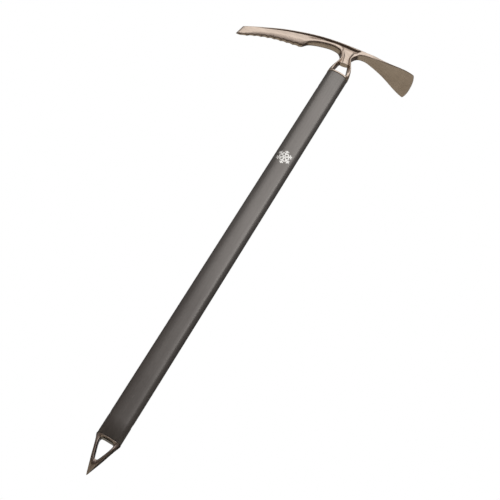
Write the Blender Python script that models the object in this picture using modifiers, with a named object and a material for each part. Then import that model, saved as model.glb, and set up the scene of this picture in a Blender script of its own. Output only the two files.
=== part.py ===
"""Ice axe: one-piece pick and adze head, oval tube shaft and a cast spike, pinned and bonded.

Metres, +Z up the shaft. The origin is the tip of the spike, the pick points to -X, the adze to +X.
"""
import math

import bmesh
import bpy
from mathutils import Matrix, Vector

# --- driving dimensions -----------------------------------------------------------------------
GAP = 0.0003                # clearance between neighbouring pieces

SHAFT_WIDTH = 0.030         # along X
SHAFT_DEPTH = 0.020         # along Y, so each narrow edge is a half round
SHAFT_WALL = 0.0015
SHAFT_BOTTOM = 0.045
SHAFT_TOP = 0.606
COLLAR_TOP = 0.6084         # the head's collar covers the end of the tube
COLLAR_BOTTOM = 0.0434      # and so does the spike's

BOND_WALL = 0.0008          # cured adhesive between a tang and the tube
BOND_LENGTH = 0.043
TANG_LENGTH = 0.045
TANG_WALL = 0.0022          # the tangs are cored from their ends to save weight
TANG_ROOT = 0.006           # solid length left next to the collar
PLUG_LENGTH = 0.016

PIN_RADIUS = 0.0025
PIN_RECESS = 0.0006         # the pin ends just below the crown of the shaft's narrow edge
PIN_CHAMFER = 0.0004
HEAD_PIN_HEIGHT = 0.576
SPIKE_PIN_HEIGHT = 0.069

HEAD_HALF_WIDTH = 0.0063    # half of the head's thickness over the flanges
WEB_HALF_WIDTH = 0.0043     # half thickness of the web between the flanges
GROOVE_HALF_WIDTH = 0.0031  # half thickness left under the top rim

TOOTH_COUNT = 9
TOOTH_RADIUS = 0.0070
TOOTH_DEPTH = 0.0014
TOOTH_LINE = [(-0.1420, 0.5906), (-0.1040, 0.6131), (-0.0665, 0.6206)]  # arch of the row, x and z
GRIND_ANGLE = 17.0          # degrees, slope of the ground flanks above the teeth
GRIND_TOE = 1.2             # degrees, the flanks close in towards the tip
GRIND_EDGE = 0.0014         # half thickness left at the middle of the toothed edge
GRIND_DEPTH = 0.0060        # thickness of the wedge that each flank loses
GRIND_LOW = -0.020          # the wedge's lower and upper side, from the row of teeth
GRIND_HIGH = 0.030

REACH = 0.060               # thickness of cutters that run right through the head
HALF_REACH = REACH / 2.0
HEAD_SPAN = (0.560, 0.680)  # heights that clear the whole head
NECK_SPAN = (0.590, 0.670)
SPIKE_SPAN = (-0.010, 0.060)
JOIN_OVERLAP = 0.001        # solids that are joined run this far into each other
WELD = 0.000002
CURVE_STEPS = 5             # points that each span of a smooth outline gets
ARC_STEPS = 7               # points that each rounded corner gets

SMOOTH = "AUTO"
CORNER = "VECTOR"

# --- outlines, seen from -Y (x, z), from above (x, y) or along X (y, z) ------------------------
HEAD_BAR_SIDE = [
    (-0.1476, 0.5896, CORNER), (-0.1464, 0.5985, SMOOTH), (-0.1449, 0.6044, CORNER),
    (-0.1410, 0.6069, SMOOTH), (-0.1200, 0.6188, SMOOTH), (-0.0900, 0.6341, SMOOTH),
    (-0.0550, 0.6470, SMOOTH), (-0.0130, 0.6570, SMOOTH), (0.0150, 0.6607, SMOOTH),
    (0.0270, 0.6600, SMOOTH), (0.0450, 0.6562, SMOOTH), (0.0700, 0.6522, SMOOTH),
    (0.0960, 0.6472, CORNER), (0.0960, 0.6464, CORNER), (0.0700, 0.6504, SMOOTH),
    (0.0450, 0.6540, SMOOTH), (0.0225, 0.6540, SMOOTH), (0.0100, 0.6500, SMOOTH),
    (0.0060, 0.6455, SMOOTH), (0.0045, 0.6400, CORNER), (-0.0095, 0.6340, CORNER),
    (-0.0130, 0.6392, SMOOTH), (-0.0175, 0.6427, SMOOTH), (-0.0240, 0.6432, SMOOTH),
    (-0.0360, 0.6405, SMOOTH), (-0.0570, 0.6306, SMOOTH), (-0.0640, 0.6213, CORNER),
    (-0.0840, 0.6159, SMOOTH), (-0.1040, 0.6097, SMOOTH), (-0.1240, 0.6006, SMOOTH),
    (-0.1420, 0.5906, CORNER),
]
HEAD_BAR_PLAN_HALF = [
    (-0.1480, 0.0006, CORNER), (-0.1280, 0.0028, SMOOTH), (-0.1050, 0.0036, SMOOTH),
    (-0.0660, 0.0047, SMOOTH), (-0.0380, HEAD_HALF_WIDTH, SMOOTH), (0.0100, HEAD_HALF_WIDTH, SMOOTH),
    (0.0230, 0.0076, SMOOTH), (0.0500, 0.0156, SMOOTH), (0.0868, 0.0272, CORNER),
    (0.0884, 0.0262, SMOOTH), (0.0912, 0.0150, SMOOTH),
]
ADZE_EDGE_CROWN = (0.0922, 0.0, SMOOTH)
NECK_SIDE = [
    (-0.0155, SHAFT_TOP, CORNER), (-0.0155, COLLAR_TOP, CORNER), (-0.0144, 0.6125, SMOOTH),
    (-0.0106, 0.6250, SMOOTH), (-0.0097, 0.6325, SMOOTH), (-0.0118, 0.6385, SMOOTH),
    (-0.0140, 0.6440, CORNER), (0.0130, 0.6560, CORNER), (0.0100, 0.6502, SMOOTH),
    (0.0052, 0.6440, SMOOTH), (0.0079, 0.6340, SMOOTH), (0.0135, 0.6196, SMOOTH),
    (0.0149, 0.6125, SMOOTH), (0.0155, COLLAR_TOP, CORNER), (0.0155, SHAFT_TOP, CORNER),
]
NECK_FRONT_HALF = [
    (0.0105, 0.6000, CORNER), (0.0105, COLLAR_TOP, CORNER), (0.0098, 0.6125, SMOOTH),
    (0.0080, 0.6270, SMOOTH), (0.0066, 0.6400, SMOOTH), (0.0058, 0.6560, CORNER),
]
CARABINER_HOLE = [(-0.0106, 0.6086), (0.0118, 0.6086), (0.0066, 0.6272), (-0.0072, 0.6272)]
CARABINER_HOLE_RADIUS = 0.0026
WEB_POCKET = [
    (-0.0062, 0.6220, CORNER), (0.0058, 0.6220, CORNER), (0.0030, 0.6320, SMOOTH),
    (0.0006, 0.6400, SMOOTH), (0.0030, 0.6490, SMOOTH), (0.0120, 0.6540, SMOOTH),
    (0.0200, 0.6566, SMOOTH), (0.0120, 0.6575, SMOOTH), (-0.0130, 0.6530, SMOOTH),
    (-0.0550, 0.6428, SMOOTH), (-0.0700, 0.6370, SMOOTH), (-0.0680, 0.6300, SMOOTH),
    (-0.0540, 0.6345, SMOOTH), (-0.0360, 0.6434, SMOOTH), (-0.0160, 0.6470, SMOOTH),
    (-0.0086, 0.6420, SMOOTH), (-0.0056, 0.6330, SMOOTH),
]
TOP_GROOVE = [
    (-0.1180, 0.6172, CORNER), (-0.0900, 0.6318, SMOOTH), (-0.0550, 0.6448, SMOOTH),
    (-0.0130, 0.6550, SMOOTH), (0.0080, 0.6578, SMOOTH), (0.0105, 0.6560, SMOOTH),
    (0.0075, 0.6540, SMOOTH), (-0.0130, 0.6508, SMOOTH), (-0.0550, 0.6412, SMOOTH),
    (-0.0900, 0.6288, SMOOTH),
]
SPIKE_SIDE_HALF = [
    (0.0155, SHAFT_BOTTOM, CORNER), (0.0155, COLLAR_BOTTOM, CORNER), (0.0144, 0.0424, SMOOTH),
    (0.0113, 0.0345, SMOOTH), (0.0078, 0.0230, SMOOTH), (0.0042, 0.0120, SMOOTH),
    (0.0004, 0.0000, CORNER),
]
SPIKE_FRONT_HALF = [
    (0.0105, 0.0500, CORNER), (0.0105, COLLAR_BOTTOM, CORNER), (0.0098, 0.0424, SMOOTH),
    (0.0090, 0.0330, SMOOTH), (0.0066, 0.0180, SMOOTH), (0.0004, 0.0000, CORNER),
]
SPIKE_HOLE = [(-0.0106, 0.0428), (0.0110, 0.0428), (0.0004, 0.0128)]
SPIKE_HOLE_RADIUS = 0.0028

# --- collections and materials -------------------------------------------------------------------


def clear_scene():
    for item in list(bpy.data.objects):
        bpy.data.objects.remove(item, do_unlink=True)


def new_collection(name):
    collection = bpy.data.collections.new(name)
    bpy.context.scene.collection.children.link(collection)
    return collection


def new_material(name, colour, roughness, metallic):
    material = bpy.data.materials.new(name)
    material.use_nodes = True
    shader = material.node_tree.nodes["Principled BSDF"]
    shader.inputs["Base Color"].default_value = (*colour, 1.0)
    shader.inputs["Roughness"].default_value = roughness
    shader.inputs["Metallic"].default_value = metallic
    material.diffuse_color = (*colour, 1.0)
    return material


# --- outlines ------------------------------------------------------------------------------------


def mirrored(half):
    """Close a half outline with its mirror image across the second axis."""
    return half + [(-first, second, kind) for first, second, kind in reversed(half)]


def mirrored_down(half, extra):
    """Close a half outline with its mirror image across the first axis, through one extra point."""
    return half + [extra] + [(first, -second, kind) for first, second, kind in reversed(half)]


def rounded(corners, radius):
    """Corner points of a polygon replaced by arcs of one radius."""
    outline = []
    for index, corner in enumerate(corners):
        here = Vector(corner)
        before = (Vector(corners[index - 1]) - here).normalized()
        after = (Vector(corners[(index + 1) % len(corners)]) - here).normalized()
        half_angle = before.angle(after) / 2.0
        centre = here + (before + after).normalized() * (radius / math.sin(half_angle))
        start = here + before * (radius / math.tan(half_angle)) - centre
        sweep = start.angle_signed(here + after * (radius / math.tan(half_angle)) - centre)
        for step in range(ARC_STEPS + 1):
            turn = Matrix.Rotation(-sweep * step / ARC_STEPS, 2)
            point = centre + turn @ start
            outline.append((point.x, point.y, CORNER))
    return outline


def stadium(width, depth):
    """Oval section with flat sides along X and half-round ends."""
    half_x = width / 2.0
    half_y = depth / 2.0
    corners = [(-half_x, -half_y), (half_x, -half_y), (half_x, half_y), (-half_x, half_y)]
    return rounded(corners, half_y * 0.999)


# --- solids --------------------------------------------------------------------------------------


def add_spline(curve, outline):
    spline = curve.splines.new("BEZIER")
    spline.bezier_points.add(len(outline) - 1)
    spline.use_cyclic_u = True
    for point, (first, second, kind) in zip(spline.bezier_points, outline):
        point.co = (first, second, 0.0)
        point.handle_left_type = kind
        point.handle_right_type = kind


def slab(name, outlines, plane, low, high, collection):
    """Flat outlines thickened from low to high along the axis across their plane."""
    curve = bpy.data.curves.new(name, "CURVE")
    curve.dimensions = "2D"
    curve.fill_mode = "BOTH"
    curve.extrude = (high - low) / 2.0
    for outline in outlines:
        add_spline(curve, outline)
    straight = all(kind == CORNER for outline in outlines for _, _, kind in outline)
    curve.resolution_u = 1 if straight else CURVE_STEPS
    middle = (low + high) / 2.0
    turn = {"XY": (0.0, 0.0, 0.0), "XZ": (math.pi / 2.0, 0.0, 0.0),
            "YZ": (math.pi / 2.0, 0.0, math.pi / 2.0)}[plane]
    place = {"XY": (0.0, 0.0, middle), "XZ": (0.0, middle, 0.0), "YZ": (middle, 0.0, 0.0)}[plane]
    guide = bpy.data.objects.new(name + "_guide", curve)
    guide.rotation_euler = turn
    guide.location = place
    collection.objects.link(guide)
    bpy.context.view_layer.update()
    evaluated = guide.evaluated_get(bpy.context.evaluated_depsgraph_get())
    mesh = bpy.data.meshes.new_from_object(evaluated)
    solid = bpy.data.objects.new(name, mesh)
    solid.matrix_world = guide.matrix_world.copy()
    collection.objects.link(solid)
    bpy.data.objects.remove(guide, do_unlink=True)
    bpy.data.curves.remove(curve)
    tidy = bmesh.new()
    tidy.from_mesh(mesh)
    bmesh.ops.remove_doubles(tidy, verts=tidy.verts, dist=WELD)
    bmesh.ops.recalc_face_normals(tidy, faces=tidy.faces)
    tidy.to_mesh(mesh)
    tidy.free()
    return solid


def cylinder(name, radius, length, place, turn, collection, segments=32):
    mesh = bpy.data.meshes.new(name)
    shape = bmesh.new()
    bmesh.ops.create_cone(shape, cap_ends=True, segments=segments, radius1=radius,
                          radius2=radius, depth=length)
    shape.to_mesh(mesh)
    shape.free()
    solid = bpy.data.objects.new(name, mesh)
    solid.location = place
    solid.rotation_euler = turn
    collection.objects.link(solid)
    return solid


def combine(solid, tool, operation):
    """Boolean with a tool that stays in the file as a hidden wire guide."""
    tool.hide_render = True
    tool.display_type = "WIRE"
    step = solid.modifiers.new(tool.name, "BOOLEAN")
    step.operation = operation
    step.solver = "EXACT"
    step.object = tool


def finish_part(solid, material, crease=35.0):
    solid.data.materials.clear()
    solid.data.materials.append(material)
    solid.data.shade_smooth()
    solid.data.set_sharp_from_angle(angle=math.radians(crease))
    return solid


# --- parts ---------------------------------------------------------------------------------------


def bore_size(clearance):
    """Width and depth of the space inside the tube, less a clearance all round."""
    inset = 2.0 * (SHAFT_WALL + clearance)
    return SHAFT_WIDTH - inset, SHAFT_DEPTH - inset


def tang_size():
    return bore_size(GAP + BOND_WALL + GAP)


def core_tang(casting, end, direction, cutters):
    """Hollow a tang from its open end, which lies in the given direction along the shaft."""
    width, depth = tang_size()
    core = stadium(width - 2.0 * TANG_WALL, depth - 2.0 * TANG_WALL)
    inner = end - direction * (TANG_LENGTH - TANG_ROOT)
    low, high = sorted((inner, end + direction * JOIN_OVERLAP))
    name = "cut_core_" + casting.name.lower()
    combine(casting, slab(name, [core], "XY", low, high, cutters), "DIFFERENCE")


def pin_hole(name, height, cutters):
    return cylinder(name, PIN_RADIUS + GAP, REACH, (0.0, 0.0, height),
                    (0.0, math.pi / 2.0, 0.0), cutters)


def make_shaft(parts, cutters, material):
    outer = stadium(SHAFT_WIDTH, SHAFT_DEPTH)
    inner = stadium(*bore_size(0.0))
    tube = slab("Shaft_Tube", [outer, inner], "XY", SHAFT_BOTTOM + GAP, SHAFT_TOP - GAP, parts)
    combine(tube, pin_hole("cut_shaft_head_pin", HEAD_PIN_HEIGHT, cutters), "DIFFERENCE")
    combine(tube, pin_hole("cut_shaft_spike_pin", SPIKE_PIN_HEIGHT, cutters), "DIFFERENCE")
    return finish_part(tube, material)


def pocket_pair(solid, name, outline, half_width, cutters):
    """Cut the same outline into both flanks, down to a half thickness."""
    for side, label in ((-1.0, "front"), (1.0, "back")):
        near, far = sorted((side * half_width, side * HALF_REACH))
        tool = slab(f"{name}_{label}", [outline], "XZ", near, far, cutters)
        combine(solid, tool, "DIFFERENCE")


def tooth_line(along):
    """Point and downward normal on the arch that the teeth follow, from 0 at the tip to 1."""
    first, middle, last = (Vector((x, 0.0, z)) for x, z in TOOTH_LINE)
    point = first.lerp(middle, along).lerp(middle.lerp(last, along), along)
    run = (middle - first).lerp(last - middle, along).normalized()
    return point, Vector((run.z, 0.0, -run.x))


def cut_teeth(head, cutters):
    for index in range(TOOTH_COUNT):
        point, down = tooth_line((index + 0.5) / TOOTH_COUNT)
        centre = point + down * (TOOTH_RADIUS - TOOTH_DEPTH)
        tool = cylinder(f"cut_tooth_{index + 1}", TOOTH_RADIUS, REACH, centre,
                        (math.pi / 2.0, 0.0, 0.0), cutters, segments=40)
        combine(head, tool, "DIFFERENCE")


def grind_pick(head, cutters):
    """Slope both flanks of the pick in towards the row of teeth."""
    first = tooth_line(0.0)[0]
    run = tooth_line(1.0)[0] - first
    slope = math.atan2(run.z, run.x)
    half_run = run.length / 2.0
    wheel = [(-half_run * 1.5, 0.0, CORNER), (half_run, 0.0, CORNER),
             (half_run * 1.3, GRIND_DEPTH, CORNER), (-half_run * 1.5, GRIND_DEPTH, CORNER)]
    for side, label in ((-1.0, "front"), (1.0, "back")):
        outline = [(x, side * y, kind) for x, y, kind in wheel]
        tool = slab(f"cut_grind_{label}", [outline], "XY", GRIND_LOW, GRIND_HIGH, cutters)
        turn = Matrix.Rotation(-slope, 4, "Y")
        turn = turn @ Matrix.Rotation(-side * math.radians(GRIND_ANGLE), 4, "X")
        turn = turn @ Matrix.Rotation(side * math.radians(GRIND_TOE), 4, "Z")
        place = Matrix.Translation(first + run / 2.0 + Vector((0.0, side * GRIND_EDGE, 0.0)))
        tool.matrix_world = place @ turn @ tool.matrix_world
        combine(head, tool, "DIFFERENCE")


def make_head(parts, cutters, material):
    head = slab("Head_Casting", [HEAD_BAR_SIDE], "XZ", -HALF_REACH, HALF_REACH, parts)
    plan = mirrored_down(HEAD_BAR_PLAN_HALF, ADZE_EDGE_CROWN)
    combine(head, slab("keep_bar_plan", [plan], "XY", *HEAD_SPAN, cutters), "INTERSECT")
    grind_pick(head, cutters)
    cut_teeth(head, cutters)

    neck = slab("join_neck", [NECK_SIDE], "XZ", -HALF_REACH, HALF_REACH, cutters)
    front = mirrored(NECK_FRONT_HALF)
    combine(neck, slab("keep_neck_front", [front], "YZ", -REACH, REACH, cutters), "INTERSECT")
    oval = stadium(SHAFT_WIDTH, SHAFT_DEPTH)
    combine(neck, slab("keep_neck_oval", [oval], "XY", *NECK_SPAN, cutters), "INTERSECT")
    combine(head, neck, "UNION")

    tang = stadium(*tang_size())
    low = SHAFT_TOP - TANG_LENGTH
    combine(head, slab("join_head_tang", [tang], "XY", low, SHAFT_TOP + JOIN_OVERLAP, cutters), "UNION")
    core_tang(head, low, -1.0, cutters)

    pocket_pair(head, "cut_web", WEB_POCKET, WEB_HALF_WIDTH, cutters)
    pocket_pair(head, "cut_groove", TOP_GROOVE, GROOVE_HALF_WIDTH, cutters)
    hole = rounded(CARABINER_HOLE, CARABINER_HOLE_RADIUS)
    through = slab("cut_carabiner_hole", [hole], "XZ", -HALF_REACH, HALF_REACH, cutters)
    combine(head, through, "DIFFERENCE")
    combine(head, pin_hole("cut_head_tang_pin", HEAD_PIN_HEIGHT, cutters), "DIFFERENCE")
    return finish_part(head, material)


def make_spike(parts, cutters, material):
    side = mirrored(SPIKE_SIDE_HALF)
    spike = slab("Spike_Casting", [side], "XZ", -HALF_REACH, HALF_REACH, parts)
    front = mirrored(SPIKE_FRONT_HALF)
    combine(spike, slab("keep_spike_front", [front], "YZ", -REACH, REACH, cutters), "INTERSECT")
    oval = stadium(SHAFT_WIDTH, SHAFT_DEPTH)
    combine(spike, slab("keep_spike_oval", [oval], "XY", *SPIKE_SPAN, cutters), "INTERSECT")
    high = SHAFT_BOTTOM + TANG_LENGTH
    tang = slab("join_spike_tang", [stadium(*tang_size())], "XY", SHAFT_BOTTOM - JOIN_OVERLAP, high,
                cutters)
    combine(spike, tang, "UNION")
    core_tang(spike, high, 1.0, cutters)
    hole = rounded(SPIKE_HOLE, SPIKE_HOLE_RADIUS)
    through = slab("cut_spike_hole", [hole], "XZ", -HALF_REACH, HALF_REACH, cutters)
    combine(spike, through, "DIFFERENCE")
    combine(spike, pin_hole("cut_spike_tang_pin", SPIKE_PIN_HEIGHT, cutters), "DIFFERENCE")
    return finish_part(spike, material)


def make_bond(name, low, pin_height, parts, cutters, material):
    """Sleeve of cured adhesive that fills the space between a tang and the tube."""
    outer = stadium(*bore_size(GAP))
    inner = stadium(*bore_size(GAP + BOND_WALL))
    sleeve = slab(name, [outer, inner], "XY", low, low + BOND_LENGTH, parts)
    combine(sleeve, pin_hole("cut_" + name.lower(), pin_height, cutters), "DIFFERENCE")
    return finish_part(sleeve, material)


def make_plug(name, low, parts, material):
    plug = slab(name, [stadium(*bore_size(GAP))], "XY", low, low + PLUG_LENGTH, parts)
    return finish_part(plug, material)


def make_pin(name, height, parts, material):
    crown = SHAFT_DEPTH / 2.0
    drop = crown - math.sqrt(crown ** 2 - PIN_RADIUS ** 2)
    length = SHAFT_WIDTH - 2.0 * (drop + PIN_RECESS)
    pin = cylinder(name, PIN_RADIUS, length, (0.0, 0.0, height), (0.0, math.pi / 2.0, 0.0), parts)
    chamfer = pin.modifiers.new("chamfer", "BEVEL")
    chamfer.width = PIN_CHAMFER
    chamfer.segments = 2
    chamfer.limit_method = "ANGLE"
    return finish_part(pin, material)


def main():
    clear_scene()
    parts = new_collection("Ice_Axe")
    cutters = new_collection("Cutters")
    steel = new_material("head_steel", (0.60, 0.50, 0.38), 0.32, 1.0)
    spike_steel = new_material("spike_steel", (0.36, 0.30, 0.25), 0.38, 1.0)
    anodised = new_material("shaft_anodised", (0.16, 0.155, 0.15), 0.42, 0.6)
    pin_steel = new_material("pin_steel", (0.62, 0.62, 0.62), 0.30, 1.0)
    adhesive = new_material("adhesive", (0.70, 0.62, 0.42), 0.50, 0.0)
    foam = new_material("foam", (0.10, 0.10, 0.10), 0.90, 0.0)

    make_head(parts, cutters, steel)
    make_shaft(parts, cutters, anodised)
    make_spike(parts, cutters, spike_steel)
    make_pin("Head_Pin", HEAD_PIN_HEIGHT, parts, pin_steel)
    make_pin("Spike_Pin", SPIKE_PIN_HEIGHT, parts, pin_steel)
    head_bond_low = SHAFT_TOP - GAP - BOND_LENGTH
    make_bond("Head_Bond", head_bond_low, HEAD_PIN_HEIGHT, parts, cutters, adhesive)
    make_bond("Spike_Bond", SHAFT_BOTTOM + GAP, SPIKE_PIN_HEIGHT, parts, cutters, adhesive)
    make_plug("Head_Foam_Plug", SHAFT_TOP - TANG_LENGTH - GAP - PLUG_LENGTH, parts, foam)
    make_plug("Spike_Foam_Plug", SHAFT_BOTTOM + TANG_LENGTH + GAP, parts, foam)


main()
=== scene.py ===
import math
import bmesh
import bpy
from mathutils import Matrix, Vector


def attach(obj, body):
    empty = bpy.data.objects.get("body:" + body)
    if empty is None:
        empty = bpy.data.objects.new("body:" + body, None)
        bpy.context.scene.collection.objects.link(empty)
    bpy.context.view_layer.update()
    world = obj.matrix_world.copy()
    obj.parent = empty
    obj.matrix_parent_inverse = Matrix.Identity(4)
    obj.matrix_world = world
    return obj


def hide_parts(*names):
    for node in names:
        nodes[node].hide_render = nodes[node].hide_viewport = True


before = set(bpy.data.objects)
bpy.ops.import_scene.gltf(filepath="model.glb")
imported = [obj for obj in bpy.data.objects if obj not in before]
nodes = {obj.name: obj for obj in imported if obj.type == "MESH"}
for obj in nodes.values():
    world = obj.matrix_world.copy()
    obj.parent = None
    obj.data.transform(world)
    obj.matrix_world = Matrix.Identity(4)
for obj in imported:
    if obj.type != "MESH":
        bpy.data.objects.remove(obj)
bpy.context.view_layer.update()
scene = bpy.context.scene
print("frame loaded:", ", ".join(sorted(nodes)))


def follow(points, x):
    # smooth line through the points, read at x, with no overshoot between them
    if x <= points[0][0]:
        return points[0][1]
    if x >= points[-1][0]:
        return points[-1][1]
    last = len(points) - 1
    k = next(i for i in range(1, last + 1) if x <= points[i][0])

    def rise(i):
        return (points[i][1] - points[i - 1][1]) / (points[i][0] - points[i - 1][0])

    def lean(i):
        if i == 0:
            return rise(1)
        if i == last:
            return rise(last)
        before, after = rise(i), rise(i + 1)
        return 0.0 if before * after <= 0 else 2 * before * after / (before + after)

    span = points[k][0] - points[k - 1][0]
    t = (x - points[k - 1][0]) / span
    return ((1 + 2 * t) * (1 - t) ** 2 * points[k - 1][1] + t * (1 - t) ** 2 * span * lean(k - 1)
            + t * t * (3 - 2 * t) * points[k][1] + t * t * (t - 1) * span * lean(k))


def ease(low, high, x):
    t = min(max((x - low) / (high - low), 0.0), 1.0)
    return t * t * (3 - 2 * t)


def mix(a, b, t):
    return a + (b - a) * t


def newPiece(name, bm, material, levels=0, mirror=False):
    # one finished object at the origin, its place is in its mesh
    mesh = bpy.data.meshes.new(name)
    bm.to_mesh(mesh)
    bm.free()
    mesh.materials.append(material)
    mesh.shade_smooth()
    piece = bpy.data.objects.new(name, mesh)
    scene.collection.objects.link(piece)
    if mirror:
        flip = piece.modifiers.new("mirror", "MIRROR")
        flip.use_axis = (False, True, False)
        flip.use_clip = True
        flip.merge_threshold = 0.00002
    if levels:
        smooth = piece.modifiers.new("smooth", "SUBSURF")
        smooth.levels = levels
        smooth.render_levels = levels
    return piece


# ---------- the oval that the tube, the collars and the tangs share: slightly crowned broad faces
oval = {"halfWide": 0.0150, "halfDeep": 0.0100, "crownRadius": 0.0300}


def ovalPoint(turn, z, grow=0.0):
    # point where the outline faces turn degrees from -Y, towards +X; grow offsets the outline
    a, b, big = oval["halfWide"], oval["halfDeep"], oval["crownRadius"]
    deep = big - b
    small = (big * big - a * a - deep * deep) / (2 * (big - a))
    side = a - small
    limit = math.degrees(math.atan2(side, deep))
    folded = (turn + 180) % 360 - 180
    spin = math.radians(folded)
    if abs(folded) <= limit:
        return Vector((math.sin(spin) * (big + grow), deep - math.cos(spin) * (big + grow), z))
    if abs(folded) >= 180 - limit:
        return Vector((math.sin(spin) * (big + grow), -deep - math.cos(spin) * (big + grow), z))
    centre = side if folded > 0 else -side
    return Vector((centre + math.sin(spin) * (small + grow), -math.cos(spin) * (small + grow), z))


def ovalDepth(x, grow=0.0):
    # how far the outline stands out towards -Y at x
    low, high = 0.0, 90.0
    for _ in range(24):
        middle = (low + high) / 2
        if ovalPoint(middle, 0, grow).x < abs(x):
            low = middle
        else:
            high = middle
    return -ovalPoint(low, 0, grow).y


# the castings' rings have 17 points, at these turns; an opening spans the middle five
frontTurns = [-90, -72, -56, -43, -33, -25, -18, -9, 0, 9, 18, 25, 33, 43, 56, 72, 90]
openFirst, openLast = 6, 10
snug = 0.0005                                       # how far a collar may stand out past the tube


# ---------- head: a sheet of stations and rows, bent round the front half of the casting
headCast = {
    "top": [(-0.1449, 0.6044), (-0.1410, 0.6069), (-0.1200, 0.6188), (-0.0900, 0.6341), (-0.0550, 0.6470),
            (-0.0130, 0.6570), (0.0150, 0.6607), (0.0270, 0.6600), (0.0450, 0.6562), (0.0700, 0.6522),
            (0.0922, 0.6479)],
    "edge": [(-0.1476, 0.5896), (-0.1420, 0.5906), (-0.1240, 0.6006), (-0.1040, 0.6097), (-0.0840, 0.6159),
             (-0.0665, 0.6206), (-0.0632, 0.6224), (-0.0570, 0.6306), (-0.0470, 0.6362), (-0.0360, 0.6405),
             (-0.0240, 0.6432), (-0.0160, 0.6428), (-0.0125, 0.6400), (0.0060, 0.6430), (0.0082, 0.6478),
             (0.0120, 0.6508), (0.0225, 0.6540), (0.0300, 0.6545), (0.0450, 0.6540), (0.0700, 0.6504),
             (0.0922, 0.6470)],
    "lean": [(-0.1476, 0.0027), (-0.1420, 0.0004), (-0.1300, -0.0030), (-0.1100, -0.0050),
             (-0.0800, -0.0060), (-0.0665, -0.0060), (-0.0570, -0.0044), (-0.0360, -0.0016), (-0.0200, 0.0)],
    "halfWidth": [(-0.1480, 0.0011), (-0.1450, 0.0018), (-0.1280, 0.0028), (-0.1050, 0.0036),
                  (-0.0660, 0.0047), (-0.0380, 0.0063), (0.0100, 0.0063), (0.0230, 0.0076),
                  (0.0360, 0.0111), (0.0500, 0.0156), (0.0864, 0.0271), (0.0876, 0.0270), (0.0884, 0.0263)],
    "edgeWidth": [(-0.1480, 0.0007), (-0.1400, 0.0012), (-0.1280, 0.0014), (-0.1000, 0.0018),
                  (-0.0700, 0.0023), (-0.0600, 0.0030), (-0.0500, 0.0044)],
    "scoop": [(-0.1300, 0.0), (-0.1150, 0.0006), (-0.0900, 0.0013), (-0.0550, 0.0021), (-0.0130, 0.0029),
              (0.0045, 0.0030), (0.0078, 0.0022), (0.0104, 0.0)],
    "scoopDrop": [(-0.1300, 0.0006), (-0.0900, 0.0014), (-0.0550, 0.0020), (-0.0130, 0.0029),
                  (0.0045, 0.0031), (0.0104, 0.0012)],
    "rimDrop": [(-0.0500, 0.0011), (-0.0150, 0.0015), (0.0030, 0.0027)],
    "pocket": [(-0.0128, 0.0063), (-0.0112, 0.0038), (-0.0096, 0.0046), (-0.0030, 0.0047), (0.0012, 0.0040),
               (0.0034, 0.0062)],
    "corner": [(-0.0600, 0.0024), (-0.0450, 0.0032), (-0.0160, 0.0030), (0.0000, 0.0024), (0.0150, 0.0020)],
    "bevelHeight": [(-0.1480, 0.0014), (-0.1300, 0.0048), (-0.1040, 0.0066), (-0.0800, 0.0085),
                    (-0.0665, 0.0088), (-0.0600, 0.0060), (-0.0500, 0.0030)],
    "webFrom": -0.0127, "webTo": 0.0030,
    "teeth": 9, "firstTooth": -0.1420, "lastTooth": -0.0665, "toothDepth": 0.0014,
    "toothCreases": (0.8, 0.9),
    "adzeStart": 0.0130, "adzeFull": 0.0300, "crown": 0.0038, "hollow": 0.0008, "arch": 0.0004,
    "lip": 0.0006,
    "tang": [(0.6086, 0.0003), (0.6082, 0.0005), (0.6064, 0.0005), (0.6060, 0.0002), (0.6060, -0.0026),
             (0.6056, -0.0029), (0.5616, -0.0029), (0.5610, -0.0033), (0.5610, -0.0048),
             (0.5616, -0.0051), (0.5985, -0.0051), (0.5990, -0.0055)],
}
toothPitch = (headCast["lastTooth"] - headCast["firstTooth"]) / headCast["teeth"]
rimRow, webRow, lastRow = 6, 8, 12                  # rows of the half section, counted from the top middle


def headStations():
    # four stations a tooth, then closer ones where the neck joins, from first to last
    spec = headCast
    xs = [-0.1474, -0.1450]
    xs += [spec["firstTooth"] + toothPitch * k / 4 for k in range(4 * spec["teeth"] + 1)]
    xs += [-0.0645, -0.0622, -0.0600, -0.0575, -0.0540, -0.0490, -0.0430, -0.0360, -0.0300, -0.0245, -0.0200]
    first = len(xs)
    xs += [-0.0160, -0.0128, -0.0112, -0.0096, -0.0072, -0.0030, 0.0012, 0.0034, 0.0056]
    last = len(xs) - 1
    xs += [0.0078, 0.0104, 0.0130, 0.0160, 0.0200, 0.0250, 0.0310, 0.0390, 0.0480, 0.0580, 0.0680, 0.0770,
           0.0830, 0.0862, 0.0876, 0.0882]
    return xs, first, last


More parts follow.
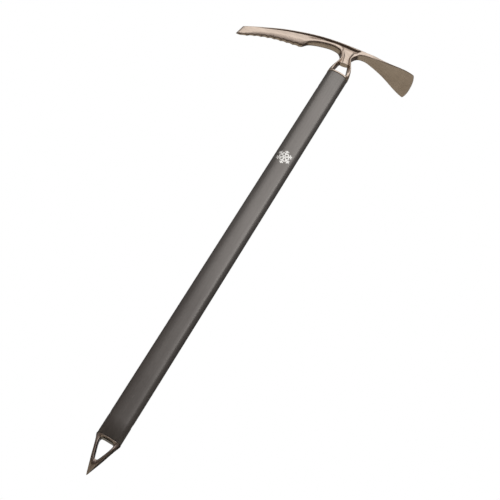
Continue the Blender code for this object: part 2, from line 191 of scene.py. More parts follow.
def headSection(x):
    # half section from the top middle, over the rim, the flank and the lower corner, to the middle below
    spec = headCast
    topX = x + follow(spec["lean"], x)
    top = Vector((topX, 0, follow(spec["top"], topX)))
    low = Vector((x, 0, follow(spec["edge"], x)))
    bite = 0.0
    if spec["firstTooth"] < x < spec["lastTooth"]:
        phase = ((x - spec["firstTooth"]) / toothPitch) % 1.0
        if 1e-3 < phase < 1 - 1e-3:                 # the points of the teeth stay where they are
            bite = spec["toothDepth"] * math.sin(math.pi * phase) ** 0.8
    tall = (top - low).length
    half = follow(spec["halfWidth"], x)
    scoop = follow(spec["scoop"], x)
    drop = follow(spec["scoopDrop"], x)
    rim = min(follow(spec["rimDrop"], x), tall * 0.14)
    edge = min(follow(spec["edgeWidth"], x), half)
    bevel = follow(spec["bevelHeight"], x)
    ground = 1 - ease(-0.0640, -0.0540, x)          # 1 where the flanks are ground for the teeth
    face = half - scoop
    corner = follow(spec["corner"], x)
    # the neck takes the flank in higher up
    lift = ease(-0.0300, -0.0150, x) * (1 - ease(0.0040, 0.0160, x))
    inWeb = spec["webFrom"] < x < spec["webTo"]
    web = follow(spec["pocket"], x) if inWeb else half     # the face runs down into the web
    outward, upward = 0.55, 0.45                    # shares of the ground flank at its own row
    slant = outward * (half - edge) / (upward * bevel)     # the gullets cut up through the ground flank
    depth = [0.0, half * 0.45, half * 0.82, half, half - 0.0001 - scoop * 0.12,
             face - 0.00002, face + scoop * 0.15,
             mix(min(face + scoop * 0.7, web), half, ground), web,
             mix(half - corner * 0.32, mix(edge, half, outward), ground),
             mix(half - corner * 1.05, edge + bite * slant, ground),
             mix(half * 0.35, edge * 0.5, ground), 0.0]
    down = [0.0, 0.0001, 0.0004, rim, rim + 0.0006 + drop * 0.15, rim + 0.0006 + drop, rim + 0.0014 + drop]
    up = [mix(0.0064 + 0.0022 * lift, bevel + 0.0012, ground),
          mix(corner * 1.25 + 0.0010 * lift, bevel, ground),
          mix(corner * 0.32, bevel * upward + bite * 0.15, ground),
          mix(0.00012, bite + 0.0001, ground), bite, bite]
    # the first rows are measured down from the top, the others up from the edge
    along = [fall / tall for fall in down] + [1 - rise / tall for rise in up]
    points = [top.lerp(low, share) for share in along]
    rows = [Vector((point.x, -out, point.z)) for point, out in zip(points, depth)]
    blade = ease(spec["adzeStart"], spec["adzeFull"], x)
    if blade > 0:
        thick = top.z - low.z
        lip = min(spec["lip"], thick * 0.3)
        knife = ease(0.0300, 0.0520, x)                 # the side edge is dressed thinner further out
        share = [0, 0.36, 0.68, 0.90, 0.985, 1, mix(1, 0.997, knife), mix(1, 0.985, knife),
                 mix(0.985, 0.955, knife), 0.90, 0.68, 0.36, 0]
        level = [0, 0, 0, 0, 0, lip / thick, mix(0.5, 0.42, knife), mix(1 - lip / thick, 0.75, knife),
                 1, 1, 1, 1, 1]
        crown = spec["crown"] * ease(0.0450, 0.0876, x)
        hollow = spec["hollow"] * blade * (1 - ease(0.0600, 0.0860, x))
        arch = spec["arch"] * (1 - ease(0.0700, 0.0868, x))
        for j in range(lastRow + 1):
            middle = 1 - share[j] ** 2
            height = top.z - thick * level[j]
            if level[j] == 1:
                height += hollow * middle
            elif level[j] == 0:
                height -= arch * middle
            flat = Vector((x + crown * (1 - share[j] ** 3), -share[j] * half, height))
            rows[j] = rows[j].lerp(flat, blade)
    return rows


neckCast = {
    "left": [(0.6060, -0.0155), (0.6090, -0.0153), (0.6125, -0.0144), (0.6180, -0.0126), (0.6250, -0.0106),
             (0.6325, -0.0097), (0.6370, -0.0108), (0.6410, -0.0128)],
    "right": [(0.6060, 0.0155), (0.6090, 0.0153), (0.6125, 0.0148), (0.6196, 0.0132), (0.6270, 0.0097),
              (0.6340, 0.0066), (0.6400, 0.0046), (0.6440, 0.0042)],
    "front": [(0.6060, 0.0105), (0.6084, 0.0104), (0.6125, 0.0097), (0.6270, 0.0078), (0.6400, 0.0064),
              (0.6460, 0.0063)],
    "turn": [(0.6100, 0.0013), (0.6270, 0.0017), (0.6400, 0.0022)],
    "rim": [(0.6100, 0.0011), (0.6270, 0.0010), (0.6400, 0.0008)],
    "slope": [(0.6100, 0.0011), (0.6180, 0.0019), (0.6260, 0.0014), (0.6350, 0.0009), (0.6420, 0.0008)],
    "webX": [(0.6180, 0.0000), (0.6284, -0.0004), (0.6340, -0.0027), (0.6400, -0.0038)],
    "webHalf": [(0.6284, 0.0030), (0.6340, 0.0021), (0.6400, 0.0022)],
    "groove": [(0.6084, 0.0105), (0.6100, 0.0092), (0.6150, 0.0066), (0.6215, 0.0042), (0.6290, 0.0024),
               (0.6350, 0.0024), (0.6400, 0.0028)],
    "web": [(0.6260, 0.0042), (0.6400, 0.0045)],
    "rings": [0.6402, 0.6378, 0.6350, 0.6322, 0.6300, 0.6284, 0.6245, 0.6195, 0.6135, 0.6097],
    "holeTop": 5, "holeLow": 9, "holeLean": 0.0014, "holeRound": 0.0006,
}


def neckRing(z):
    # half section of the neck from its left middle, over the front, to its right middle: 17 points
    spec = neckCast
    left, right, front, turn = (follow(spec[key], z) for key in ("left", "right", "front", "turn"))
    rim, slope, groove, web = (follow(spec[key], z) for key in ("rim", "slope", "groove", "web"))
    middle, foot = follow(spec["webX"], z), follow(spec["webHalf"], z)
    points = [
        (left, 0), (left, -front * 0.40), (left + 0.0001, -front + turn * 1.1),
        (left + turn * 0.20, -front + turn * 0.35), (left + turn * 0.72, -front),
        (left + turn * 0.72 + rim, -front), (left + turn * 0.72 + rim + slope, -groove),
        (middle - foot, -web), (middle, -web), (middle + foot, -web),
        (right - turn * 0.72 - rim - slope * 2.0, -groove), (right - turn * 0.72 - rim, -front),
        (right - turn * 0.72, -front), (right - turn * 0.20, -front + turn * 0.35),
        (right - 0.0001, -front + turn * 1.1), (right, -front * 0.40), (right, 0)]
    middlePoint = (openFirst + openLast) // 2
    tilt = spec["holeLean"] * ease(0.6150, 0.6284, z) * (1 - ease(0.6310, 0.6400, z))
    ring = []
    for k, (x, y) in enumerate(points):
        limit = ovalDepth(x, snug)
        rise = tilt * (k - middlePoint) / 2 if openFirst <= k <= openLast else 0.0
        ring.append(Vector((x, -min(-y, limit), z + rise)))
    return ring


def chainEdges(bm, chain, closed=False):
    following = chain[1:] + chain[:1] if closed else chain[1:]
    return [bm.edges.get(pair) for pair in zip(chain, following)]


def extrudeChain(bm, chain, places, closed=False):
    # one row of faces along a chain of vertices, out to the new places
    made = bmesh.ops.extrude_edge_only(bm, edges=chainEdges(bm, chain, closed))["geom"]
    fresh = {v for v in made if isinstance(v, bmesh.types.BMVert)}
    after = [next(e.other_vert(old) for e in old.link_edges if e.other_vert(old) in fresh) for old in chain]
    for vert, place in zip(after, places):
        vert.co = place
    return after


def closeCasting(bm, gap):
    bmesh.ops.remove_doubles(bm, verts=bm.verts, dist=gap)
    bmesh.ops.dissolve_degenerate(bm, dist=0.00001, edges=bm.edges)
    bmesh.ops.recalc_face_normals(bm, faces=bm.faces)


def buildHead():
    xs, first, last = headStations()
    bm = bmesh.new()
    steps = len(xs) + 1                             # a closing column stands at each end of the stations
    bmesh.ops.create_grid(bm, x_segments=steps, y_segments=lastRow, size=1.0)
    columns = {}
    for vert in bm.verts:
        i = round((vert.co.x + 1) / 2 * steps)
        j = round((1 - vert.co.y) / 2 * lastRow)
        columns[(i, j)] = vert
    for i in range(steps + 1):
        rows = headSection(xs[min(max(i - 1, 0), len(xs) - 1)])
        for j in range(lastRow + 1):
            place = rows[j].copy()
            if i == 0:                              # the pick's end closes on the middle plane
                place.y = 0
                place.x -= 0.0001
            if i == steps:                          # the adze's edge closes on its own middle
                place = (rows[j] + rows[lastRow - j]) / 2 + Vector((0.0004, 0, 0))
                if abs(j - rimRow) <= 1:
                    place.y = rows[rimRow].y + 0.0002
            columns[(i, j)].co = place
    crease = bm.edges.layers.float.new("crease_edge")
    for i, x in enumerate(xs, start=1):
        phase = (x - headCast["firstTooth"]) / toothPitch
        if abs(phase - round(phase)) < 1e-3 and -0.5 < phase < headCast["teeth"] + 0.5:
            for j, amount in enumerate(headCast["toothCreases"], start=lastRow - 2):
                bm.edges.get((columns[(i, j)], columns[(i, j + 1)]))[crease] = amount
    # open the underside where the neck grows out of the bar
    a, b = first + 1, last + 1
    under = {columns[(i, j)] for i in range(a, b + 1) for j in range(webRow, lastRow + 1)}
    gone = [f for f in bm.faces if under.issuperset(f.verts)]
    bmesh.ops.delete(bm, geom=gone, context="FACES")
    chain = [columns[(a, j)] for j in range(lastRow, webRow - 1, -1)]
    chain += [columns[(i, webRow)] for i in range(a + 1, b)]
    chain += [columns[(b, j)] for j in range(webRow, lastRow + 1)]
    rings = []
    for z in neckCast["rings"]:
        chain = extrudeChain(bm, chain, neckRing(z))
        rings.append(chain)
    # collar under the hole and the tang inside the tube
    for z, grow in headCast["tang"]:
        chain = extrudeChain(bm, chain, [ovalPoint(turn, z, grow) for turn in frontTurns])
    bm.faces.new(chain)
    openWindow(bm, rings, neckCast["holeTop"], neckCast["holeLow"], neckCast["holeRound"])
    closeCasting(bm, 0.00003)
    return bm


# ---------- shaft: the oval tube, with a drilled and countersunk hole at each pin
shaftTube = {
    "low": 0.0453, "high": 0.6057, "wall": 0.0015, "rounded": 0.0003, "rings": 24, "sides": 72,
    "pinHeights": (0.0690, 0.5760), "hole": 0.0028, "sink": 0.0034, "sinkOut": 0.01478, "sinkIn": 0.01425,
    "drillReach": 0.0200, "drillSides": 40,
}


def buildShaft():
    # up the outside, over the rounded end, down the bore, and closed round the lower end
    spec = shaftTube
    low, high, wall, soft = spec["low"], spec["high"], spec["wall"], spec["rounded"]
    bm = bmesh.new()
    bmesh.ops.create_circle(bm, cap_ends=False, segments=spec["sides"], radius=1.0)
    start = list(bm.verts)
    turns = [-90 + 360 / spec["sides"] * k for k in range(spec["sides"])]
    for vert, turn in zip(start, turns):
        vert.co = ovalPoint(turn, low + soft)
    levels = [(mix(low + soft, high - soft, k / spec["rings"]), 0.0) for k in range(1, spec["rings"] + 1)]
    levels += [(high - soft * 0.3, -soft * 0.3), (high, -soft), (high, -wall + soft), (high - soft, -wall),
               (low + soft, -wall), (low, -wall + soft), (low, -soft), (low + soft * 0.3, -soft * 0.3)]
    loop = start
    for z, grow in levels:
        loop = extrudeChain(bm, loop, [ovalPoint(turn, z, grow) for turn in turns], closed=True)
    ends = chainEdges(bm, start, closed=True) + chainEdges(bm, loop, closed=True)
    bmesh.ops.bridge_loops(bm, edges=ends)
    bmesh.ops.recalc_face_normals(bm, faces=bm.faces)
    return bm


def spinProfile(bm, profile, height, steps):
    # turn a profile of (x, radius) points about a cross axis at the height
    placed = set(bm.verts)
    verts = [bm.verts.new((x, 0, radius)) for x, radius in profile]
    edges = [bm.edges.new(pair) for pair in zip(verts, verts[1:])]
    bmesh.ops.spin(bm, geom=verts + edges, cent=(0, 0, 0), axis=(1, 0, 0), angle=math.tau, steps=steps,
                   use_merge=True)
    bmesh.ops.translate(bm, verts=[v for v in bm.verts if v not in placed], vec=(0, 0, height))


def buildDrill():
    # drill bits for both pins, stepped out to a countersink at each end
    spec = shaftTube
    bm = bmesh.new()
    end = [(spec["sinkIn"], spec["hole"]), (spec["sinkOut"], spec["sink"]),
           (spec["drillReach"], spec["sink"]), (spec["drillReach"], 0.0)]
    profile = [(-x, radius) for x, radius in reversed(end)] + end
    for height in spec["pinHeights"]:
        spinProfile(bm, profile, height, spec["drillSides"])
    bmesh.ops.remove_doubles(bm, verts=bm.verts, dist=0.00001)
    bmesh.ops.recalc_face_normals(bm, faces=bm.faces)
    return bm


def settle(piece, sharp=30):
    # bake the modifiers into the mesh and keep hard edges hard
    bpy.context.view_layer.update()
    mesh = bpy.data.meshes.new_from_object(piece.evaluated_get(bpy.context.evaluated_depsgraph_get()))
    piece.modifiers.clear()
    piece.data = mesh
    mesh.shade_smooth()
    mesh.set_sharp_from_angle(angle=math.radians(sharp))


def makeShaft(material):
    shaft = newPiece("Shaft", buildShaft(), material)
    drill = newPiece("shaftDrill", buildDrill(), material)
    cut = shaft.modifiers.new("pinHoles", "BOOLEAN")
    cut.operation = "DIFFERENCE"
    cut.solver = "EXACT"
    cut.object = drill
    settle(shaft)
    bpy.data.objects.remove(drill, do_unlink=True)
    return shaft


# ---------- spike: wedge point with an open triangle between two rails
spikeCast = {
    "half": [(0.0000, 0.0004), (0.0120, 0.0042), (0.0230, 0.0078), (0.0345, 0.0113), (0.0405, 0.0136),
             (0.0434, 0.0152), (0.0450, 0.0155)],
    "deep": [(0.0000, 0.0004), (0.0100, 0.0054), (0.0140, 0.0076), (0.0186, 0.0083), (0.0330, 0.0092),
             (0.0424, 0.0101), (0.0434, 0.0104), (0.0450, 0.0105)],
    "rings": [0.0435, 0.0420, 0.0388, 0.0340, 0.0290, 0.0240, 0.0205, 0.0186, 0.0168, 0.0140, 0.0100,
              0.0060, 0.0025, 0.0007],
    "holeTop": 1, "holeLow": 7, "holeRound": 0.0005,
    "openLeft": [(0.0183, -0.0014), (0.0200, -0.0024), (0.0240, -0.0037), (0.0375, -0.0080),
                 (0.0403, -0.0084), (0.0428, -0.0072)],
    "openRight": [(0.0183, 0.0014), (0.0200, 0.0025), (0.0240, 0.0041), (0.0375, 0.0088), (0.0403, 0.0093),
                  (0.0428, 0.0080)],
    "ridge": 0.55,
    "chamfer": [(0.0125, 0.0), (0.0186, 0.0016), (0.0260, 0.0026), (0.0420, 0.0024), (0.0441, 0.0)],
    "tang": [(0.0510, -0.0055), (0.0515, -0.0051), (0.0894, -0.0051), (0.0900, -0.0048), (0.0900, -0.0033),
             (0.0894, -0.0029), (0.0454, -0.0029), (0.0450, -0.0026), (0.0450, 0.0002), (0.0446, 0.0005),
             (0.0441, 0.0005)],
}


def spikeRing(z):
    # half section of the spike: a rail on each side of the opening, with an inner chamfer
    spec = spikeCast
    half, deep = follow(spec["half"], z), follow(spec["deep"], z)
    left, right = follow(spec["openLeft"], z), follow(spec["openRight"], z)
    closing = ease(0.0150, 0.0190, z)                    # below the opening the rails run together
    chamfer = follow(spec["chamfer"], z)
    left, right = mix(-half * 0.22, left, closing), mix(half * 0.22, right, closing)
    turn = min(0.0020, half * 0.42)
    outLeft, outRight = -half + turn * 0.75, half - turn * 0.75
    crestLeft, crestRight = mix(outLeft, left, spec["ridge"]), mix(outRight, right, spec["ridge"])
    points = [
        (-half, 0), (-half, -deep * 0.42), (-half + turn * 0.04, -deep + turn * 1.0),
        (-half + turn * 0.26, -deep + turn * 0.42), (outLeft, -deep + turn * 0.10), (crestLeft, -deep),
        (left, -deep + chamfer), (mix(left, right, 0.25), -deep + chamfer),
        (mix(left, right, 0.5), -deep + chamfer), (mix(left, right, 0.75), -deep + chamfer),
        (right, -deep + chamfer), (crestRight, -deep), (outRight, -deep + turn * 0.10),
        (half - turn * 0.26, -deep + turn * 0.42), (half - turn * 0.04, -deep + turn * 1.0),
        (half, -deep * 0.42), (half, 0)]
    return [Vector((x, -min(-y, ovalDepth(x, snug)), z)) for x, y in points]


def openWindow(bm, rings, first, last, depth):
    # open the front between two rings, then take the edge of the opening through to the middle plane
    inside = {v for ring in rings[first:last + 1] for v in ring[openFirst:openLast + 1]}
    window = [f for f in bm.faces if inside.issuperset(f.verts)]
    bmesh.ops.delete(bm, geom=window, context="FACES")
    between = rings[first + 1:last]
    rim = rings[first][openFirst:openLast + 1] + [ring[openLast] for ring in between]
    rim += rings[last][openFirst:openLast + 1][::-1] + [ring[openFirst] for ring in reversed(between)]
    rounded = [v.co + Vector((0, depth, 0)) for v in rim]
    rim = extrudeChain(bm, rim, rounded, closed=True)
    extrudeChain(bm, rim, [Vector((place.x, 0, place.z)) for place in rounded], closed=True)


def buildSpike():
    bm = bmesh.new()
    # the tang, from the bottom of its core, over its end, to the collar
    bottom, *rest = spikeCast["tang"]
    chain = [bm.verts.new(ovalPoint(turn, *bottom)) for turn in frontTurns]
    bm.faces.new(chain)
    for z, grow in rest:
        chain = extrudeChain(bm, chain, [ovalPoint(turn, z, grow) for turn in frontTurns])
    rings = []
    for z in spikeCast["rings"]:
        chain = extrudeChain(bm, chain, spikeRing(z))
        rings.append(chain)
    extrudeChain(bm, chain, [Vector((0, 0, 0))] * len(chain))
    openWindow(bm, rings, spikeCast["holeTop"], spikeCast["holeLow"], spikeCast["holeRound"])
    closeCasting(bm, 0.00002)
    return bm


# ---------- pins: pressed in flush, with a turned edge and a shallow dish
crossPin = {"radius": 0.0025, "half": 0.01410, "edge": 0.0004, "dish": 0.0003, "sides": 32}


def buildPin(height):
    spec = crossPin
    r, h, e, d = spec["radius"], spec["half"], spec["edge"], spec["dish"]
    end = [(h - d, 0.0), (h - d * 0.9, r * 0.35), (h - d * 0.35, r * 0.62), (h, r - e * 1.2), (h, r - e),
           (h - e * 0.4, r - e * 0.35), (h - e, r), (h - e * 2.5, r)]
    profile = end + [(-x, radius) for x, radius in reversed(end)]
    bm = bmesh.new()
    spinProfile(bm, profile, height, spec["sides"])
    bmesh.ops.remove_doubles(bm, verts=bm.verts, dist=0.00001)
    bmesh.ops.recalc_face_normals(bm, faces=bm.faces)
    return bm


# ---------- etched mark: a plain six-armed snow crystal, laid on the crowned face
crystalMark = {
    "height": 0.4545, "across": -0.0016, "arm": 0.0102, "hub": 0.0006, "line": 0.00082, "above": 0.00004,
    "branch": 0.0038, "branchAt": (0.42, 0.70), "branchTurn": 58, "branchLine": 0.85,
}


def buildMark():
    spec = crystalMark
    bm = bmesh.new()

    def stroke(start, end, width):
        # a grid of size 0.5 is 1 long and 1 wide, so it is stretched to the stroke
        run = end - start
        made = bmesh.ops.create_grid(bm, x_segments=8, y_segments=1, size=0.5)["verts"]
        place = Matrix.Translation(((start + end) / 2).to_3d())
        turn = Matrix.Rotation(math.atan2(run.y, run.x), 4, "Z")
        stretch = Matrix.Diagonal((run.length, width * 2, 1, 1))
        bmesh.ops.transform(bm, matrix=place @ turn @ stretch, verts=made)

    for k in range(6):
        angle = math.pi / 2 + k * math.pi / 3
        out = Vector((math.cos(angle), math.sin(angle)))
        stroke(out * spec["hub"], out * spec["arm"], spec["line"])
        for share in spec["branchAt"]:
            foot = out * spec["arm"] * share
            reach = spec["branch"] * (1.15 - share * 0.5)      # the outer branches are shorter
            for side in (-1, 1):
                lean = Matrix.Rotation(side * math.radians(spec["branchTurn"]), 2) @ out
                stroke(foot, foot + lean * reach, spec["line"] * spec["branchLine"])
    for v in bm.verts:
        x, z = v.co.x + spec["across"], v.co.y + spec["height"]
        v.co = Vector((x, -ovalDepth(x) - spec["above"], z))
    bmesh.ops.recalc_face_normals(bm, faces=bm.faces)
    for f in bm.faces:
        if f.normal.y > 0:
            f.normal_flip()
    return bm


# ---------- finishes
def startMaterial(name):
    material = bpy.data.materials.new(name)
    material.use_nodes = True
    tree = material.node_tree
    shader = tree.nodes["Principled BSDF"]
    coords = tree.nodes.new("ShaderNodeTexCoord").outputs["Object"]
    return material, tree, shader, coords


def addNoise(tree, coords, scale, detail=3.0, stretch=(1, 1, 1), roughness=0.55):
    mapping = tree.nodes.new("ShaderNodeMapping")
    mapping.inputs["Scale"].default_value = stretch
    tree.links.new(coords, mapping.inputs["Vector"])
    noise = tree.nodes.new("ShaderNodeTexNoise")
    noise.inputs["Scale"].default_value = scale
    noise.inputs["Detail"].default_value = detail
    noise.inputs["Roughness"].default_value = roughness
    tree.links.new(mapping.outputs["Vector"], noise.inputs["Vector"])
    return noise.outputs["Fac"]


def addRamp(tree, value, stops):
    ramp = tree.nodes.new("ShaderNodeValToRGB")
    bar = ramp.color_ramp
    while len(bar.elements) < len(stops):
        bar.elements.new(0.5)
    for element, (place, tone) in zip(bar.elements, stops):
        element.position = place
        element.color = (*tone, 1) if isinstance(tone, tuple) else (tone, tone, tone, 1)
    tree.links.new(value, ramp.inputs["Fac"])
    return ramp.outputs["Color"]


def addMix(tree, factor, first, second, blend="MIX"):
    node = tree.nodes.new("ShaderNodeMix")
    node.data_type = "RGBA"
    node.blend_type = blend
    for socket, value in ((node.inputs[0], factor), (node.inputs[6], first), (node.inputs[7], second)):
        if isinstance(value, (float, tuple)):
            socket.default_value = value if isinstance(value, float) else (*value, 1)
        else:
            tree.links.new(value, socket)
    return node.outputs[2]


def addBump(tree, shader, heights):
    # heights: (value, strength, distance in metres), chained
    normal = None
    for value, strength, distance in heights:
        bump = tree.nodes.new("ShaderNodeBump")
        bump.inputs["Strength"].default_value = strength
        bump.inputs["Distance"].default_value = distance
        tree.links.new(value, bump.inputs["Height"])
        if normal is not None:
            tree.links.new(normal, bump.inputs["Normal"])
        normal = bump.outputs["Normal"]
    tree.links.new(normal, shader.inputs["Normal"])


def addWear(tree, low, high):
    # lighter where the metal turns a sharp corner
    geometry = tree.nodes.new("ShaderNodeNewGeometry")
    return addRamp(tree, geometry.outputs["Pointiness"], [(low, 0.0), (high, 1.0)])


def castSteel(name, tones, worn, rough, wear=(0.545, 0.62), scale=None):
    # bead-blasted casting steel: cloudy tone, fine pitted skin, polished edges, faint drag marks,
    # and, when scale is given, painted shade: walls that face sideways, not to the front or back, are
    # painted near-black
    material, tree, shader, coords = startMaterial(name)
    cloud = addNoise(tree, coords, 38.0, 4.0)
    grain = addNoise(tree, coords, 1700.0, 2.0)
    pits = addNoise(tree, coords, 620.0, 3.0, roughness=0.7)
    drag = addNoise(tree, coords, 420.0, 3.0, stretch=(0.16, 1.0, 1.5))
    base = addRamp(tree, cloud, [(0.32, tones[0]), (0.50, tones[1]), (0.70, tones[2])])
    speck = addRamp(tree, pits, [(0.28, 0.70), (0.42, 1.0)])
    base = addMix(tree, 0.55, base, speck, "MULTIPLY")
    streak = addRamp(tree, drag, [(0.30, 0.80), (0.55, 1.0)])
    base = addMix(tree, 0.6, base, streak, "MULTIPLY")
    # painted shade: the scale colour darkens every wall whose normal turns away from the front and back,
    # standing in for the shade inside the opening and along the sides
    if scale:
        facing = tree.nodes.new("ShaderNodeSeparateXYZ")
        geometry = tree.nodes.new("ShaderNodeNewGeometry")
        tree.links.new(geometry.outputs["Normal"], facing.inputs["Vector"])
        depth = tree.nodes.new("ShaderNodeMath")
        depth.operation = "ABSOLUTE"
        tree.links.new(facing.outputs["Y"], depth.inputs[0])
        sideShade = addRamp(tree, depth.outputs["Value"], [(0.45, 1.0), (0.78, 0.0)])
        base = addMix(tree, sideShade, base, scale)
    scratch = addRamp(tree, drag, [(0.60, 0.0), (0.72, 1.0)])
    edge = addWear(tree, *wear)
    base = addMix(tree, edge, base, worn)
    tree.links.new(base, shader.inputs["Base Color"])
    shader.inputs["Metallic"].default_value = 1.0
    satin = addRamp(tree, cloud, [(0.30, rough[0]), (0.70, rough[1])])
    satin = addMix(tree, scratch, satin, (rough[0] * 0.8,) * 3)
    satin = addMix(tree, edge, satin, (rough[0] * 0.75,) * 3)
    tree.links.new(satin, shader.inputs["Roughness"])
    addBump(tree, shader, [(pits, 0.10, 0.00014), (grain, 0.10, 0.00004), (drag, 0.08, 0.00006)])
    return material


def anodisedTube(name):
    # dyed satin anodising: drawn grain along the tube, cloudy tone, scuffs, bare metal on the cut ends
    material, tree, shader, coords = startMaterial(name)
    cloud = addNoise(tree, coords, 16.0, 4.0, stretch=(1.0, 1.0, 0.4))
    drawn = addNoise(tree, coords, 900.0, 2.0, stretch=(1.0, 1.0, 0.018))
    grain = addNoise(tree, coords, 2600.0, 2.0)
    scuff = addNoise(tree, coords, 130.0, 5.0, stretch=(1.0, 1.0, 0.16), roughness=0.75)
    base = addRamp(tree, cloud, [(0.30, (0.150, 0.140, 0.136)), (0.50, (0.176, 0.166, 0.160)),
                                 (0.72, (0.205, 0.194, 0.187))])
    lines = addRamp(tree, drawn, [(0.30, 0.86), (0.62, 1.0)])
    base = addMix(tree, 0.6, base, lines, "MULTIPLY")
    rub = addRamp(tree, scuff, [(0.66, 0.0), (0.76, 1.0)])
    base = addMix(tree, rub, base, (0.235, 0.225, 0.215))
    edge = addWear(tree, 0.545, 0.62)
    base = addMix(tree, edge, base, (0.42, 0.41, 0.40))
    tree.links.new(base, shader.inputs["Base Color"])
    shader.inputs["Metallic"].default_value = 0.85
    satin = addRamp(tree, cloud, [(0.30, 0.36), (0.70, 0.42)])
    satin = addMix(tree, rub, satin, (0.33, 0.33, 0.33))
    tree.links.new(satin, shader.inputs["Roughness"])
    addBump(tree, shader, [(drawn, 0.10, 0.00006), (grain, 0.20, 0.00004), (scuff, 0.05, 0.00010)])
    return material


def turnedSteel(name):
    # bright pin steel with fine tool lines
    material, tree, shader, coords = startMaterial(name)
    rings = tree.nodes.new("ShaderNodeTexWave")
    rings.wave_type = "RINGS"
    rings.rings_direction = "X"
    rings.inputs["Scale"].default_value = 900.0
    rings.inputs["Distortion"].default_value = 1.2
    tree.links.new(coords, rings.inputs["Vector"])
    cloud = addNoise(tree, coords, 240.0, 3.0)
    base = addRamp(tree, cloud, [(0.3, (0.46, 0.46, 0.47)), (0.7, (0.64, 0.64, 0.66))])
    tree.links.new(base, shader.inputs["Base Color"])
    shader.inputs["Metallic"].default_value = 1.0
    tree.links.new(addRamp(tree, cloud, [(0.3, 0.24), (0.7, 0.36)]), shader.inputs["Roughness"])
    addBump(tree, shader, [(rings.outputs["Color"], 0.2, 0.00005), (cloud, 0.1, 0.00005)])
    return material


def curedAdhesive(name):
    # amber resin with swirls and small bubbles
    material, tree, shader, coords = startMaterial(name)
    swirl = addNoise(tree, coords, 180.0, 4.0)
    bubbles = tree.nodes.new("ShaderNodeTexVoronoi")
    bubbles.inputs["Scale"].default_value = 900.0
    tree.links.new(coords, bubbles.inputs["Vector"])
    base = addRamp(tree, swirl, [(0.3, (0.52, 0.40, 0.20)), (0.7, (0.70, 0.58, 0.34))])
    tree.links.new(base, shader.inputs["Base Color"])
    tree.links.new(addRamp(tree, swirl, [(0.3, 0.35), (0.7, 0.55)]), shader.inputs["Roughness"])
    addBump(tree, shader, [(bubbles.outputs["Distance"], 0.3, 0.0002), (swirl, 0.2, 0.0003)])
    return material


def closedFoam(name):
    # dark foam with closed cells
    material, tree, shader, coords = startMaterial(name)
    cells = tree.nodes.new("ShaderNodeTexVoronoi")
    cells.inputs["Scale"].default_value = 1100.0
    tree.links.new(coords, cells.inputs["Vector"])
    tone = addNoise(tree, coords, 90.0, 3.0)
    base = addRamp(tree, tone, [(0.3, (0.035, 0.036, 0.040)), (0.7, (0.075, 0.076, 0.082))])
    shade = addRamp(tree, cells.outputs["Distance"], [(0.1, 0.6), (0.6, 1.0)])
    tree.links.new(addMix(tree, 0.7, base, shade, "MULTIPLY"), shader.inputs["Base Color"])
    tree.links.new(addRamp(tree, tone, [(0.3, 0.82), (0.7, 0.95)]), shader.inputs["Roughness"])
    addBump(tree, shader, [(cells.outputs["Distance"], 0.6, 0.0003)])
    return material


def etchedMark(name):
    # the dye is burnt away down to bright metal, in a fine raster
    material, tree, shader, coords = startMaterial(name)
    raster = addNoise(tree, coords, 1400.0, 2.0, stretch=(0.2, 1.0, 1.0))
    patch = addNoise(tree, coords, 420.0, 4.0, roughness=0.7)
    base = addRamp(tree, patch, [(0.30, (0.60, 0.60, 0.59)), (0.46, (0.74, 0.74, 0.73))])
    tree.links.new(base, shader.inputs["Base Color"])
    shader.inputs["Metallic"].default_value = 0.9
    tree.links.new(addRamp(tree, raster, [(0.3, 0.40), (0.7, 0.52)]), shader.inputs["Roughness"])
    addBump(tree, shader, [(raster, 0.10, 0.00003)])
    return material


headFinish = {
    "tones": ((0.425, 0.352, 0.298), (0.475, 0.396, 0.338), (0.525, 0.442, 0.380)),
    "worn": (0.62, 0.54, 0.47), "rough": (0.26, 0.33),
}
# the spike is the head's cast steel in darker tones: painted shade on the lower end
spikeFinish = {
    "tones": ((0.31, 0.255, 0.225), (0.36, 0.30, 0.262), (0.42, 0.35, 0.305)),
    # scale: near-black painted shade on the spike's sideways walls
    "worn": (0.52, 0.46, 0.41), "rough": (0.30, 0.38), "scale": (0.060, 0.050, 0.045),
}
headSteel = castSteel("headSteel", **headFinish)
spikeSteel = castSteel("spikeSteel", **spikeFinish)
shaftAnodised = anodisedTube("shaftAnodised")
pinSteel = turnedSteel("pinSteel")
bondResin = curedAdhesive("bondResin")
plugFoam = closedFoam("plugFoam")
etchedBright = etchedMark("etchedBright")


def mount(piece, slot, *replaced):
    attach(piece, "root")
    if replaced:
        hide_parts(*replaced)
    print(piece.name, "ready:", len(piece.data.polygons), "faces")


mount(newPiece("Head", buildHead(), headSteel, levels=2, mirror=True), "head_steel", "Head_Casting")
mount(makeShaft(shaftAnodised), "shaft_anodised", "Shaft_Tube")
mount(newPiece("Spike", buildSpike(), spikeSteel, levels=2, mirror=True), "spike_steel", "Spike_Casting")
spikePinHeight, headPinHeight = shaftTube["pinHeights"]
for pinName, replaced, height in (("Pin_Head", "Head_Pin", headPinHeight),
                                  ("Pin_Spike", "Spike_Pin", spikePinHeight)):
    pin = newPiece(pinName, buildPin(height), pinSteel)
    pin.data.set_sharp_from_angle(angle=math.radians(40))
    mount(pin, "pin_steel", replaced)
mount(newPiece("Etched_Mark", buildMark(), etchedBright), "shaft_anodised")
for nodeName, finish in (("Head_Bond", bondResin), ("Spike_Bond", bondResin),
                         ("Head_Foam_Plug", plugFoam), ("Spike_Foam_Plug", plugFoam)):
    nodes[nodeName].data.materials.clear()
    nodes[nodeName].data.materials.append(finish)
print("finishes set on the bonds and plugs")

